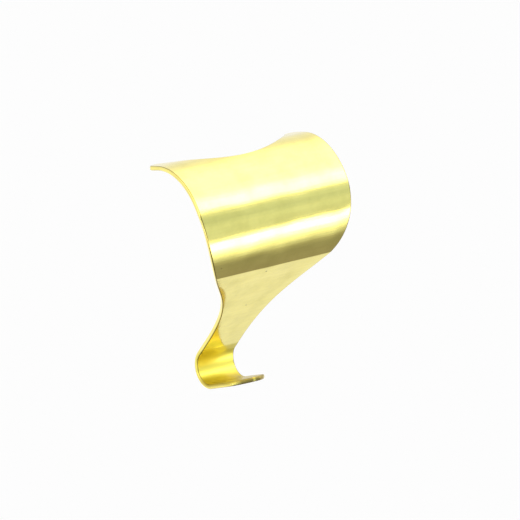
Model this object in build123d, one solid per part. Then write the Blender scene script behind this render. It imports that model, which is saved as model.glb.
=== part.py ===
from build123d import *
from math import cos, radians, sin
import os

# Picture rail hook: one strip of brass sheet, blanked to a tapering outline and then bent.
# The hood goes over the rail's rounded nose, the flat panel slopes back to the wall,
# and the upturned tongue carries the picture cord.
#
# Millimetres and degrees. X is across the hook, -Y faces the room and +Z is up.
# The origin is on the hood's axis, midway along it, where the middle of the rail's nose lies.
# A heading is how far the strip has turned down from pointing straight at the room.

# Sheet, with the roll that blanking leaves round its room side, and its wall side's sharp edge broken
sheet_thickness = 1.0
edge_roll = 0.3
edge_break = 0.2

# Hood, over the rail
hood_width = 40.0
rail_radius = 13.9
lip_fall = 16.0
hood_end_heading = 123.2

# Scallop in the hood's rear edge, with a rounded horn at each side
scallop_depth = 9.0
horn_radius = 2.0
horn_reach = 7.85

# Flat panel, which narrows to the stem, below a crisp crease
panel_heading = 129.2
crease_radius = 3.0
panel_length = 34.2
stem_width = 10.0

# Flanks: each turns in at the front of the hood and runs in one long S-curve to the straight stem.
# A pull is how far the curve keeps near the line that it sets out on, or comes in on.
turn_in_angle = 13.2
turn_in_radius = 2.0
turn_in_set = 0.2
shoulder_pull = 19.8
waist_pull = 22.5
stem_length = 4.35

# Trough and tongue, for the cord
trough_radius = 3.6
tongue_rise = 21.0
tongue_length = 10.8

# Worked out from the sizes above
hood_radius = rail_radius + sheet_thickness
half_hood = hood_width / 2
half_stem = stem_width / 2
beyond = hood_width + panel_length
turn_in_start = rail_radius - turn_in_set


def along(heading):
    """Unit vector along the strip, from the lip towards the tongue."""
    return Vector(0, -cos(radians(heading)), -sin(radians(heading)))


def outward(heading):
    """Unit vector square to the strip, on its room side."""
    return Vector(0, -sin(radians(heading)), cos(radians(heading)))


def bend(axis, radius, start, end):
    """Arc of the strip between two headings; a negative radius bends it up towards the room."""
    points = [axis + outward(heading) * radius for heading in (start, (start + end) / 2, end)]
    return ThreePointArc(*points)


def strip(line, width):
    """The sheet, bent to a side view of its room side and as wide as given."""
    section = line.offset_2d(sheet_thickness, kind=Kind.INTERSECTION, side=Side.RIGHT, closed=True)
    return extrude(Face(section), width / 2, both=True)


def rear_waste():
    """What is cut from behind the hood, seen from above: the scallop and the horns' corners."""
    horn_centre = Vector(half_hood - horn_radius, horn_reach - horn_radius)
    horn_depth = scallop_depth - horn_radius
    scallop_radius = (horn_centre.X**2 + horn_depth**2 - horn_radius**2) / (2 * scallop_depth)
    scallop_floor = Vector(0, horn_reach - scallop_depth)
    scallop_centre = scallop_floor + Vector(0, scallop_radius)
    meeting = scallop_centre + (horn_centre - scallop_centre).normalized() * scallop_radius
    horn_side = Vector(half_hood, horn_centre.Y)
    horn_back = horn_centre + Vector(1, 1).normalized() * horn_radius
    scallop = ThreePointArc((-meeting.X, meeting.Y), scallop_floor, meeting)
    horn = ThreePointArc(meeting, horn_back, horn_side)
    surround = Polyline(
        horn_side,
        (beyond, horn_side.Y),
        (beyond, beyond),
        (-beyond, beyond),
        (-beyond, horn_side.Y),
        (-half_hood, horn_side.Y),
    )
    return extrude(make_face(Curve() + [scallop, horn, surround, mirror(horn, Plane.YZ)]), beyond)


def flank_waste(stem_end):
    """What is cut from beside the right-hand edge of hood and panel, square to the panel."""
    turn_in = JernArc((half_hood, turn_in_start), (0, -1), turn_in_radius, -turn_in_angle)
    taper_end = Vector(half_stem, stem_length - stem_end.dot(along(panel_heading)))
    taper = Bezier(
        turn_in @ 1,
        turn_in @ 1 + (turn_in % 1) * shoulder_pull,
        taper_end + Vector(0, waist_pull),
        taper_end,
    )
    surround = Polyline(
        taper_end,
        (half_stem, -beyond),
        (beyond, -beyond),
        (beyond, turn_in_start),
        (half_hood, turn_in_start),
    )
    facing_panel = Plane((0, 0, 0), x_dir=(1, 0, 0), z_dir=outward(panel_heading))
    waste = facing_panel * make_face(Curve() + [turn_in, taper, surround])
    return extrude(waste, hood_radius + sheet_thickness)


def tip_waste(tongue_tip):
    """What is cut from round the tongue's tip to leave it half round."""
    facing_tongue = Plane(tongue_tip, x_dir=(1, 0, 0), z_dir=outward(-tongue_rise))
    surround = Polyline(
        (half_stem, half_stem),
        (beyond, half_stem),
        (beyond, -beyond),
        (-beyond, -beyond),
        (-beyond, half_stem),
        (-half_stem, half_stem),
    )
    tip = ThreePointArc((-half_stem, half_stem), (0, 0), (half_stem, half_stem))
    return extrude(facing_tongue * make_face(Curve() + [surround, tip]), 2 * sheet_thickness, both=True)


def is_sheet_side(face):
    """Whether a face belongs to the sheet's two sides, which all run straight across the hook."""
    if face.geom_type == GeomType.CYLINDER:
        return abs(face.axis_of_rotation.direction.X) > 0.5
    return face.geom_type == GeomType.PLANE and abs(face.normal_at().X) < 1e-6


def rim(hook, line, room_side):
    """The edges where the sheared edge meets the sheet's room side or its wall side."""
    sheared_edge = hook.faces().filter_by(is_sheet_side, reverse=True)

    def is_wanted(face):
        place = face.position_at(0.5, 0.5)
        return (line.distance_to(Vertex(0, place.Y, place.Z)) < sheet_thickness / 2) == room_side

    return hook.faces().filter_by(is_sheet_side).filter_by(is_wanted).edges() & sheared_edge.edges()


# Side view of the sheet's room side
lip_root = outward(-lip_fall) * hood_radius
lip_edge = lip_root - along(-lip_fall) * (horn_reach + horn_radius)
hood_end = outward(hood_end_heading) * hood_radius
crease_axis = hood_end - outward(hood_end_heading) * crease_radius
panel_start = crease_axis + outward(panel_heading) * crease_radius
stem_end = panel_start + along(panel_heading) * panel_length
trough_axis = stem_end + outward(panel_heading) * trough_radius
tongue_root = trough_axis - outward(-tongue_rise) * trough_radius
tongue_tip = tongue_root + along(-tongue_rise) * tongue_length

# The strip, full width as far as the stem and stem wide to the tongue's tip, then cut to its outline
lip_to_stem = [
    Line(lip_edge, lip_root),
    bend(Vector(0, 0, 0), hood_radius, -lip_fall, hood_end_heading),
    bend(crease_axis, crease_radius, hood_end_heading, panel_heading),
    Line(panel_start, stem_end),
]
trough_and_tongue = [
    bend(trough_axis, -trough_radius, panel_heading, -tongue_rise),
    Line(tongue_root, tongue_tip),
]
whole_line = Wire(lip_to_stem + trough_and_tongue)
flank = flank_waste(stem_end)
hook = strip(Wire(lip_to_stem), hood_width) - flank - mirror(flank, Plane.YZ)
hook += strip(whole_line, stem_width)
hook = hook - rear_waste() - tip_waste(tongue_tip)

# Its edges, all the way round
hook = fillet(rim(hook, whole_line, room_side=True), edge_roll)
hook = chamfer(rim(hook, whole_line, room_side=False), edge_break)

os.makedirs("parts", exist_ok=True)
export_step(hook, "parts/hook.step")
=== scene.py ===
from math import cos, pi, radians, sin

import bpy
from mathutils import Matrix, Vector


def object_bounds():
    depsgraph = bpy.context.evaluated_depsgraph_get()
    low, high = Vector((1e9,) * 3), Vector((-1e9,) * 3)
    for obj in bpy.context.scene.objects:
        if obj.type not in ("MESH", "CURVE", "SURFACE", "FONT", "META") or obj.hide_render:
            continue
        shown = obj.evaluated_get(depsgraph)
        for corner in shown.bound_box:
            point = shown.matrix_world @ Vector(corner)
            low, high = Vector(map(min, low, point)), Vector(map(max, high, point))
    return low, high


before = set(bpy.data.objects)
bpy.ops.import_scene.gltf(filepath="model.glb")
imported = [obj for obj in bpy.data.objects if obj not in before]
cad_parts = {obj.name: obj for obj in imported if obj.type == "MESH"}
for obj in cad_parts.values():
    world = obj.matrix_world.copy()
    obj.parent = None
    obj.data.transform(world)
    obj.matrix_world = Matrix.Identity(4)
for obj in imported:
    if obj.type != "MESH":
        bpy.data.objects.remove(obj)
cad_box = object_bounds()

# A picture rail hook of bright brass sheet, in white studio surroundings.
# +X is across the hook, -Y faces the room and +Z is up. Lengths are in metres unless said to be in mm.

MM = 0.001

# Camera: where it stands round the hook, and where in the picture it sees the middle of the
# line that joins the tips of the two horns
IMAGE_SIZE = 520
PIXELS_PER_MM = 4.53
CAMERA_AZIMUTH = -35.0
CAMERA_ELEVATION = 20.0
CAMERA_DISTANCE = 3.0
SENSOR_WIDTH = 36.0
BETWEEN_HORNS = Vector((0.0, 7.85, 12.95)) * MM
BETWEEN_HORNS_PIXEL = (221.0, 150.0)

# Floor, well under the hook
FLOOR_DROP = 0.35
FLOOR_SIZE = 12.0
FLOOR_PAPER = "#fdfdfd"

# The hook's outline in mm, for the finish along its flanks: how far down the panel's slope from the
# hood's axis, and how far from the middle the edge is there
PANEL_HEADING = 129.2
HALF_HOOD = 20.0
FLANK = [(-14, 20.0), (-10, 19.1), (-6, 17.7), (-2, 15.8), (2, 13.6), (5, 11.7), (8, 9.9), (11, 8.3),
         (14, 7.1), (17, 6.2), (20, 5.6), (24, 5.15), (28.6, 5.0)]

# The trough in mm, for the finish and painted shade of its inside. Both change halfway through the sheet,
# and the painted shade's deeper gold starts and is full this far from the axis, measured square to the
# tongue.
TROUGH_AXIS = (0.0, 6.543, -37.19)
TROUGH_RADIUS = 3.6
TONGUE_RISE = 21.0
INTO_SHEET = (0.25, 0.75)
DEEPER_SHADE = (-1.2, -2.8)

# How the flanks fall away to their edges, in mm: over what width and how far. The fall fades out from
# before the hood's axis to behind it, and down the panel's slope towards the stem.
EDGE_FALL_WIDTH = 3.6
EDGE_FALL = 0.12
FADE_BEHIND = (4.0, -9.0)
FADE_TO_STEM = (6.0, 17.0)

# The painted shade line along the sheared edge: how far a face is turned sideways where the line starts,
# is full, starts to fade and ends
EDGE_LINE = (0.02, 0.1, 0.55, 0.8)

# Size of each mark in mm. Real rolling lines and grain are a tenth of these and wouldn't show,
# so both are drawn as coarse as the picture needs. The lines are this much longer across the hook.
WAVE_SIZE = 14.0
LINE_SIZE = 0.8
LINE_STRETCH = 16.7
GRAIN_SIZE = 0.5
STAIN_SIZE = 4.5

# Where in a noise pattern, which keeps to about 0.2 to 0.8, each mark starts to show and is full
STAINS_SHOW = (0.38, 0.68)
LINES_SHOW = (0.40, 0.66)
STAINS_DULL = (0.3, 0.7)

# Pits in mm: at most one in each cell, with the radius of its bottom and of its whole, and the share
# of cells that have none
PIT_CELL = 5.0
PIT_BOTTOM = 0.1
PIT_RADIUS = 0.275
CELLS_WITHOUT_PIT = 0.72

# Height of each mark in mm
WAVE_HEIGHT = 0.45
LINE_HEIGHT = 0.014
GRAIN_HEIGHT = 0.007
PIT_DEPTH = 0.03

# Tones of the brass
CLEAR_BRASS = "#f9ea85"
STAINED_BRASS = "#ebdd7a"
LINED_BRASS = "#ebd979"
# Painted shade inside the trough: a deeper gold up its back, darker still on its floor and the tongue
TROUGH_BACK_SHADE = "#eee05e"
TROUGH_FLOOR_SHADE = "#c0ac3a"
PIT_BROWN = "#8a7a40"
# Painted shade: a thin brown line where the sheet rolls over to its sheared edge
EDGE_SHADE_BROWN = "#93803a"
LINE_TONE = 0.28

# Roughness: the least and the most on the hood, and what the trough adds to it
ROUGHNESS = (0.075, 0.125)
TROUGH_DULLNESS = 0.36

# Lacquer
LACQUER_WEIGHT = 0.3
LACQUER_ROUGHNESS = 0.08

# What the metal mirrors, by how far a direction is turned up from straight at the room, in degrees:
# the colour of the surroundings and how bright they are
SURROUNDINGS = [
    (-180, "#ffffff", 0.98),
    (-166, "#ffffff", 0.95),
    (-154, "#ffffff", 1.15),
    (-135, "#ffffff", 1.1),
    (-112, "#fafcff", 1.03),
    (-97, "#fafcff", 0.96),
    (-91, "#fff8f0", 0.35),
    (-60, "#ffffff", 0.34),
    (-52, "#ffffff", 0.47),
    (-44, "#f4faff", 0.98),
    (-36, "#fafcff", 1.5),
    (-29, "#ffffff", 2.6),
    (-22, "#ffffff", 4.6),
    (-14, "#ffffff", 4.6),
    (-8, "#ffffff", 1.5),
    (-3, "#ecf6ff", 0.94),
    (6, "#e9f5ff", 0.97),
    (14, "#e9f5ff", 1.02),
    (22, "#e4f3ff", 0.86),
    (32, "#e6f4ff", 0.98),
    (39, "#f4faff", 1.25),
    (47, "#ffffff", 3.6),
    (58, "#ffffff", 3.8),
    (70, "#ffffff", 2.5),
    (82, "#ffffff", 2.15),
    (108, "#ffffff", 2.1),
    (130, "#ffffff", 1.7),
    (144, "#ffffff", 1.16),
    (158, "#ffffff", 0.98),
    (180, "#ffffff", 0.98),
]
BRIGHTEST = 5.0


def linear(hex_colour):
    """An sRGB hex colour as the linear values that the shaders take."""
    parts = [int(hex_colour[i:i + 2], 16) / 255 for i in (1, 3, 5)]
    return tuple(p / 12.92 if p <= 0.04045 else ((p + 0.055) / 1.055) ** 2.4 for p in parts) + (1.0,)


def add_node(tree, kind, inputs=None, **settings):
    """Adds a node with its settings. Each input, by name or number, is a value, a socket or a node.

    A node feeds the input from its first output in use.
    """
    node = tree.nodes.new(kind)
    for name, value in settings.items():
        setattr(node, name, value)
    for key, value in (inputs or {}).items():
        if isinstance(value, bpy.types.Node):
            value = next(output for output in value.outputs if output.enabled)
        if isinstance(value, bpy.types.NodeSocket):
            tree.links.new(value, node.inputs[key])
        else:
            node.inputs[key].default_value = value
    return node


def new_tree(owner):
    """The emptied node tree of a material or a world."""
    owner.use_nodes = True
    owner.node_tree.nodes.clear()
    return owner.node_tree


def fallen_edge(tree, place):
    """How near a flank's edge a point is: 1 at the edge itself and 0 from EDGE_FALL_WIDTH inwards."""
    heading = radians(PANEL_HEADING)
    down_slope = add_node(tree, "ShaderNodeVectorMath", {0: place, 1: (0.0, -cos(heading), -sin(heading))},
                          operation="DOT_PRODUCT")
    forward = add_node(tree, "ShaderNodeVectorMath", {0: place, 1: (0.0, -sin(heading), cos(heading))},
                       operation="DOT_PRODUCT")

    # The outline's half width there, as a share of HALF_HOOD
    top, bottom = FLANK[0][0], FLANK[-1][0]
    along_flank = add_node(tree, "ShaderNodeMapRange", {
        "Value": down_slope,
        "From Min": top,
        "From Max": bottom,
    })
    outline = add_node(tree, "ShaderNodeFloatCurve", {"Value": along_flank})
    points = outline.mapping.curves[0].points
    points[0].location = (0.0, FLANK[0][1] / HALF_HOOD)
    points[-1].location = (1.0, FLANK[-1][1] / HALF_HOOD)
    for down, half_width in FLANK[1:-1]:
        points.new((down - top) / (bottom - top), half_width / HALF_HOOD)
    outline.mapping.update()

    # Behind the hood's axis the hook has its full width, and the fall moves outwards and off it
    behind = add_node(tree, "ShaderNodeMath", {0: forward, 1: 0.0}, operation="LESS_THAN")
    share = add_node(tree, "ShaderNodeMath", {0: outline, 1: behind}, operation="MAXIMUM")
    moved_out = add_node(tree, "ShaderNodeMapRange", {
        "Value": forward,
        "From Min": FADE_BEHIND[0],
        "From Max": FADE_BEHIND[1],
        "To Min": 0.0,
        "To Max": EDGE_FALL_WIDTH / HALF_HOOD,
    })
    share = add_node(tree, "ShaderNodeMath", {0: share, 1: moved_out}, operation="ADD")
    half_width = add_node(tree, "ShaderNodeMath", {0: share, 1: HALF_HOOD}, operation="MULTIPLY")

    across = add_node(tree, "ShaderNodeSeparateXYZ", {"Vector": place}).outputs["X"]
    from_middle = add_node(tree, "ShaderNodeMath", {0: across}, operation="ABSOLUTE")
    inwards = add_node(tree, "ShaderNodeMath", {0: half_width, 1: from_middle}, operation="SUBTRACT")
    above_stem = add_node(tree, "ShaderNodeMapRange", {
        "Value": down_slope,
        "From Min": FADE_TO_STEM[0],
        "From Max": FADE_TO_STEM[1],
        "To Min": 1.0,
        "To Max": 0.0,
    })
    return add_node(tree, "ShaderNodeMapRange", {
        "Value": inwards,
        "From Min": 0.0,
        "From Max": EDGE_FALL_WIDTH,
        "To Min": above_stem,
        "To Max": 0.0,
    })


def inside_trough(tree, place):
    """Whether a point is on the cord's side of the trough and tongue, and whether it is low there.

    The first is 1 on that side and 0 elsewhere. The second is 0 up the trough's back, and 1 on its floor
    and on the tongue.
    """
    rise = radians(TONGUE_RISE)
    from_axis = add_node(tree, "ShaderNodeVectorMath", {0: place, 1: TROUGH_AXIS}, operation="SUBTRACT")
    up = add_node(tree, "ShaderNodeVectorMath", {0: from_axis, 1: (0.0, sin(rise), cos(rise))},
                  operation="DOT_PRODUCT")
    to_tip = add_node(tree, "ShaderNodeVectorMath", {0: from_axis, 1: (0.0, -cos(rise), sin(rise))},
                      operation="DOT_PRODUCT")
    round_bend = add_node(tree, "ShaderNodeMath", {0: to_tip, 1: 0.0}, operation="MINIMUM")
    section = add_node(tree, "ShaderNodeCombineXYZ", {"X": round_bend, "Y": up})
    distance = add_node(tree, "ShaderNodeVectorMath", {0: section}, operation="LENGTH")
    inside = add_node(tree, "ShaderNodeMapRange", {
        "Value": distance,
        "From Min": TROUGH_RADIUS + INTO_SHEET[0],
        "From Max": TROUGH_RADIUS + INTO_SHEET[1],
        "To Min": 1.0,
        "To Max": 0.0,
    })
    low = add_node(tree, "ShaderNodeMapRange", {
        "Value": up,
        "From Min": DEEPER_SHADE[0],
        "From Max": DEEPER_SHADE[1],
    })
    return inside, low


def edge_shade_line(tree, faces):
    """Where the sheet rolls over to its sheared edge, for a thin line of painted shade: 1 on that line and 0
    elsewhere.

    The sheet's own sides all run straight across the hook, so only its edges face left or right.
    """
    across = add_node(tree, "ShaderNodeSeparateXYZ", {"Vector": faces}).outputs["X"]
    sideways = add_node(tree, "ShaderNodeMath", {0: across}, operation="ABSOLUTE")
    rolled = add_node(tree, "ShaderNodeMapRange", {
        "Value": sideways,
        "From Min": EDGE_LINE[0],
        "From Max": EDGE_LINE[1],
    })
    return add_node(tree, "ShaderNodeMapRange", {
        "Value": sideways,
        "From Min": EDGE_LINE[2],
        "From Max": EDGE_LINE[3],
        "To Min": rolled,
        "To Max": 0.0,
    })


def scattered_pits(tree, place):
    """A few small pits: 1 in a pit and 0 elsewhere."""
    cells = add_node(tree, "ShaderNodeTexVoronoi", {"Vector": place, "Scale": 1 / PIT_CELL})
    chance = add_node(tree, "ShaderNodeSeparateColor", {"Color": cells.outputs["Color"]}).outputs["Red"]
    pitted = add_node(tree, "ShaderNodeMath", {0: chance, 1: CELLS_WITHOUT_PIT}, operation="GREATER_THAN")
    speck = add_node(tree, "ShaderNodeMapRange", {
        "Value": cells.outputs["Distance"],
        "From Min": PIT_BOTTOM / PIT_CELL,
        "From Max": PIT_RADIUS / PIT_CELL,
        "To Min": 1.0,
        "To Max": 0.0,
    })
    return add_node(tree, "ShaderNodeMath", {0: speck, 1: pitted}, operation="MULTIPLY")


def polished_brass():
    """Rolled brass sheet, pressed, brightened and lacquered: a clear, slightly soft mirror with a lemon tone.

    Rolling leaves faint lines across the hook and a fine grain. Pressing leaves long shallow waves, flanks
    that fall away a little at their edges, and a duller finish inside the tight bend of the trough, where a
    deeper, darker gold is painted shade. Along the roll-over to its sheared edge, a thin brown line is
    painted shade.
    """
    material = bpy.data.materials.new("polished_lacquered_brass_sheet")
    tree = new_tree(material)
    on_hook = add_node(tree, "ShaderNodeTexCoord").outputs
    place = add_node(tree, "ShaderNodeVectorMath", {0: on_hook["Object"], "Scale": 1 / MM}, operation="SCALE")

    waves = add_node(tree, "ShaderNodeTexNoise", {"Vector": place, "Scale": 1 / WAVE_SIZE, "Detail": 1.0})
    drawn_out = add_node(tree, "ShaderNodeVectorMath", {0: place, 1: (1 / LINE_STRETCH, 1.0, 1.0)},
                         operation="MULTIPLY")
    lines = add_node(tree, "ShaderNodeTexNoise", {"Vector": drawn_out, "Scale": 1 / LINE_SIZE, "Detail": 3.0})
    grain = add_node(tree, "ShaderNodeTexNoise", {"Vector": place, "Scale": 1 / GRAIN_SIZE, "Detail": 2.0})
    stains = add_node(tree, "ShaderNodeTexNoise", {
        "Vector": place,
        "Scale": 1 / STAIN_SIZE,
        "Detail": 3.0,
        "Roughness": 0.55,
    })
    pits = scattered_pits(tree, place)
    unbuffed_and_shaded, low_in_trough = inside_trough(tree, place)

    # Relief, added up in mm
    edge = fallen_edge(tree, place)
    edge_squared = add_node(tree, "ShaderNodeMath", {0: edge, 1: 2.0}, operation="POWER")
    relief = add_node(tree, "ShaderNodeMath", {0: edge_squared, 1: -EDGE_FALL}, operation="MULTIPLY")
    for mark, height in (
        (waves, WAVE_HEIGHT),
        (lines, LINE_HEIGHT),
        (grain, GRAIN_HEIGHT),
        (pits, -PIT_DEPTH),
    ):
        relief = add_node(tree, "ShaderNodeMath", {0: mark, 1: height, 2: relief}, operation="MULTIPLY_ADD")
    surface = add_node(tree, "ShaderNodeBump", {"Height": relief, "Distance": MM, "Strength": 1.0})

    # Tone, each mark laid over the ones before it
    stained = add_node(tree, "ShaderNodeMapRange", {
        "Value": stains,
        "From Min": STAINS_SHOW[0],
        "From Max": STAINS_SHOW[1],
    })
    lined = add_node(tree, "ShaderNodeMapRange", {
        "Value": lines,
        "From Min": LINES_SHOW[0],
        "From Max": LINES_SHOW[1],
        "To Min": 0.0,
        "To Max": LINE_TONE,
    })
    # Painted shade: the inside of the trough is painted a deeper gold, darkest on its floor and the tongue
    trough_shade = add_node(tree, "ShaderNodeMix", {
        "Factor": low_in_trough,
        "A": linear(TROUGH_BACK_SHADE),
        "B": linear(TROUGH_FLOOR_SHADE),
    }, data_type="RGBA")
    tone = linear(CLEAR_BRASS)
    for mark, colour in (
        (stained, linear(STAINED_BRASS)),
        (lined, linear(LINED_BRASS)),
        (unbuffed_and_shaded, trough_shade),
        (pits, linear(PIT_BROWN)),
        # Painted shade: a thin brown line where the sheet rolls over to its sheared edge
        (edge_shade_line(tree, on_hook["Normal"]), linear(EDGE_SHADE_BROWN)),
    ):
        tone = add_node(tree, "ShaderNodeMix", {"Factor": mark, "A": tone, "B": colour}, data_type="RGBA")

    # Roughness: near a mirror, a little softer where it is stained, and duller inside the trough
    roughness = add_node(tree, "ShaderNodeMapRange", {
        "Value": stains,
        "From Min": STAINS_DULL[0],
        "From Max": STAINS_DULL[1],
        "To Min": ROUGHNESS[0],
        "To Max": ROUGHNESS[1],
    })
    roughness = add_node(tree, "ShaderNodeMath", {0: unbuffed_and_shaded, 1: TROUGH_DULLNESS, 2: roughness},
                         operation="MULTIPLY_ADD")

    brass = add_node(tree, "ShaderNodeBsdfPrincipled", {
        "Base Color": tone,
        "Metallic": 1.0,
        "Roughness": roughness,
        "Normal": surface,
        "Coat Weight": LACQUER_WEIGHT,
        "Coat Roughness": LACQUER_ROUGHNESS,
    })
    add_node(tree, "ShaderNodeOutputMaterial", {"Surface": brass})
    return material


def studio_paper():
    """Matt white paper: no shine, and only a soft shadow shows on it. It is clear from below."""
    material = bpy.data.materials.new("white_studio_paper")
    tree = new_tree(material)
    paper = add_node(tree, "ShaderNodeBsdfDiffuse", {"Color": linear(FLOOR_PAPER)})
    clear = add_node(tree, "ShaderNodeBsdfTransparent")
    from_below = add_node(tree, "ShaderNodeNewGeometry").outputs["Backfacing"]
    sheet = add_node(tree, "ShaderNodeMixShader", {0: from_below, 1: paper, 2: clear})
    add_node(tree, "ShaderNodeOutputMaterial", {"Surface": sheet})
    return material


def place_camera():
    """Stands the camera at the photograph's angle and aims it so that one known point lands on its pixel."""
    turn, tilt = radians(CAMERA_AZIMUTH), radians(CAMERA_ELEVATION)
    back = Vector((sin(turn) * cos(tilt), -cos(turn) * cos(tilt), sin(tilt)))
    right = Vector((cos(turn), sin(turn), 0.0))
    up = back.cross(right)
    centre = IMAGE_SIZE / 2
    across = (centre - BETWEEN_HORNS_PIXEL[0]) / PIXELS_PER_MM * MM
    down = (centre - BETWEEN_HORNS_PIXEL[1]) / PIXELS_PER_MM * MM
    target = BETWEEN_HORNS + right * across - up * down
    data = bpy.data.cameras.new("camera")
    data.sensor_width = SENSOR_WIDTH
    data.lens = SENSOR_WIDTH * CAMERA_DISTANCE / (IMAGE_SIZE / PIXELS_PER_MM * MM)
    camera = bpy.data.objects.new("camera", data)
    facing = Matrix((right, up, back)).transposed().to_4x4()
    camera.matrix_world = Matrix.Translation(target + back * CAMERA_DISTANCE) @ facing
    bpy.context.scene.collection.objects.link(camera)
    bpy.context.scene.camera = camera


def light_studio():
    """Plain white all round for the camera and for soft light, and the studio's bands for the metal."""
    world = bpy.data.worlds.new("studio")
    bpy.context.scene.world = world
    tree = new_tree(world)
    direction = add_node(tree, "ShaderNodeTexCoord").outputs["Generated"]
    parts = add_node(tree, "ShaderNodeSeparateXYZ", {"Vector": direction}).outputs
    towards_room = add_node(tree, "ShaderNodeMath", {0: parts["Y"], 1: -1.0}, operation="MULTIPLY")
    turn = add_node(tree, "ShaderNodeMath", {0: parts["Z"], 1: towards_room}, operation="ARCTAN2")
    share = add_node(tree, "ShaderNodeMapRange", {"Value": turn, "From Min": -pi, "From Max": pi})
    bands = add_node(tree, "ShaderNodeValToRGB", {"Fac": share})
    stops = bands.color_ramp.elements
    stops.remove(stops[1])
    for number, (angle, colour, strength) in enumerate(SURROUNDINGS):
        stop = stops.new((angle + 180) / 360) if number else stops[0]
        stop.color = [part * strength / BRIGHTEST for part in linear(colour)[:3]] + [1.0]
    mirrored = add_node(tree, "ShaderNodeBackground", {"Color": bands, "Strength": BRIGHTEST})
    plain = add_node(tree, "ShaderNodeBackground", {"Color": linear("#ffffff"), "Strength": 1.0})
    seen_in_metal = add_node(tree, "ShaderNodeLightPath").outputs["Is Glossy Ray"]
    surround = add_node(tree, "ShaderNodeMixShader", {0: seen_in_metal, 1: plain, 2: mirrored})
    add_node(tree, "ShaderNodeOutputWorld", {"Surface": surround})


def lay_floor():
    """A plain pale floor, which the metal doesn't mirror: its surroundings are the studio's bands."""
    half = FLOOR_SIZE / 2
    low = cad_box[0][2] - FLOOR_DROP
    mesh = bpy.data.meshes.new("floor")
    corners = [(-half, -half, low), (half, -half, low), (half, half, low), (-half, half, low)]
    mesh.from_pydata(corners, [], [(0, 1, 2, 3)])
    mesh.materials.append(studio_paper())
    floor = bpy.data.objects.new("floor", mesh)
    floor.visible_glossy = False
    bpy.context.scene.collection.objects.link(floor)


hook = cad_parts["hook"]
hook.data.materials.clear()
hook.data.materials.append(polished_brass())

place_camera()
light_studio()
lay_floor()

bpy.context.scene.view_settings.view_transform = "Standard"
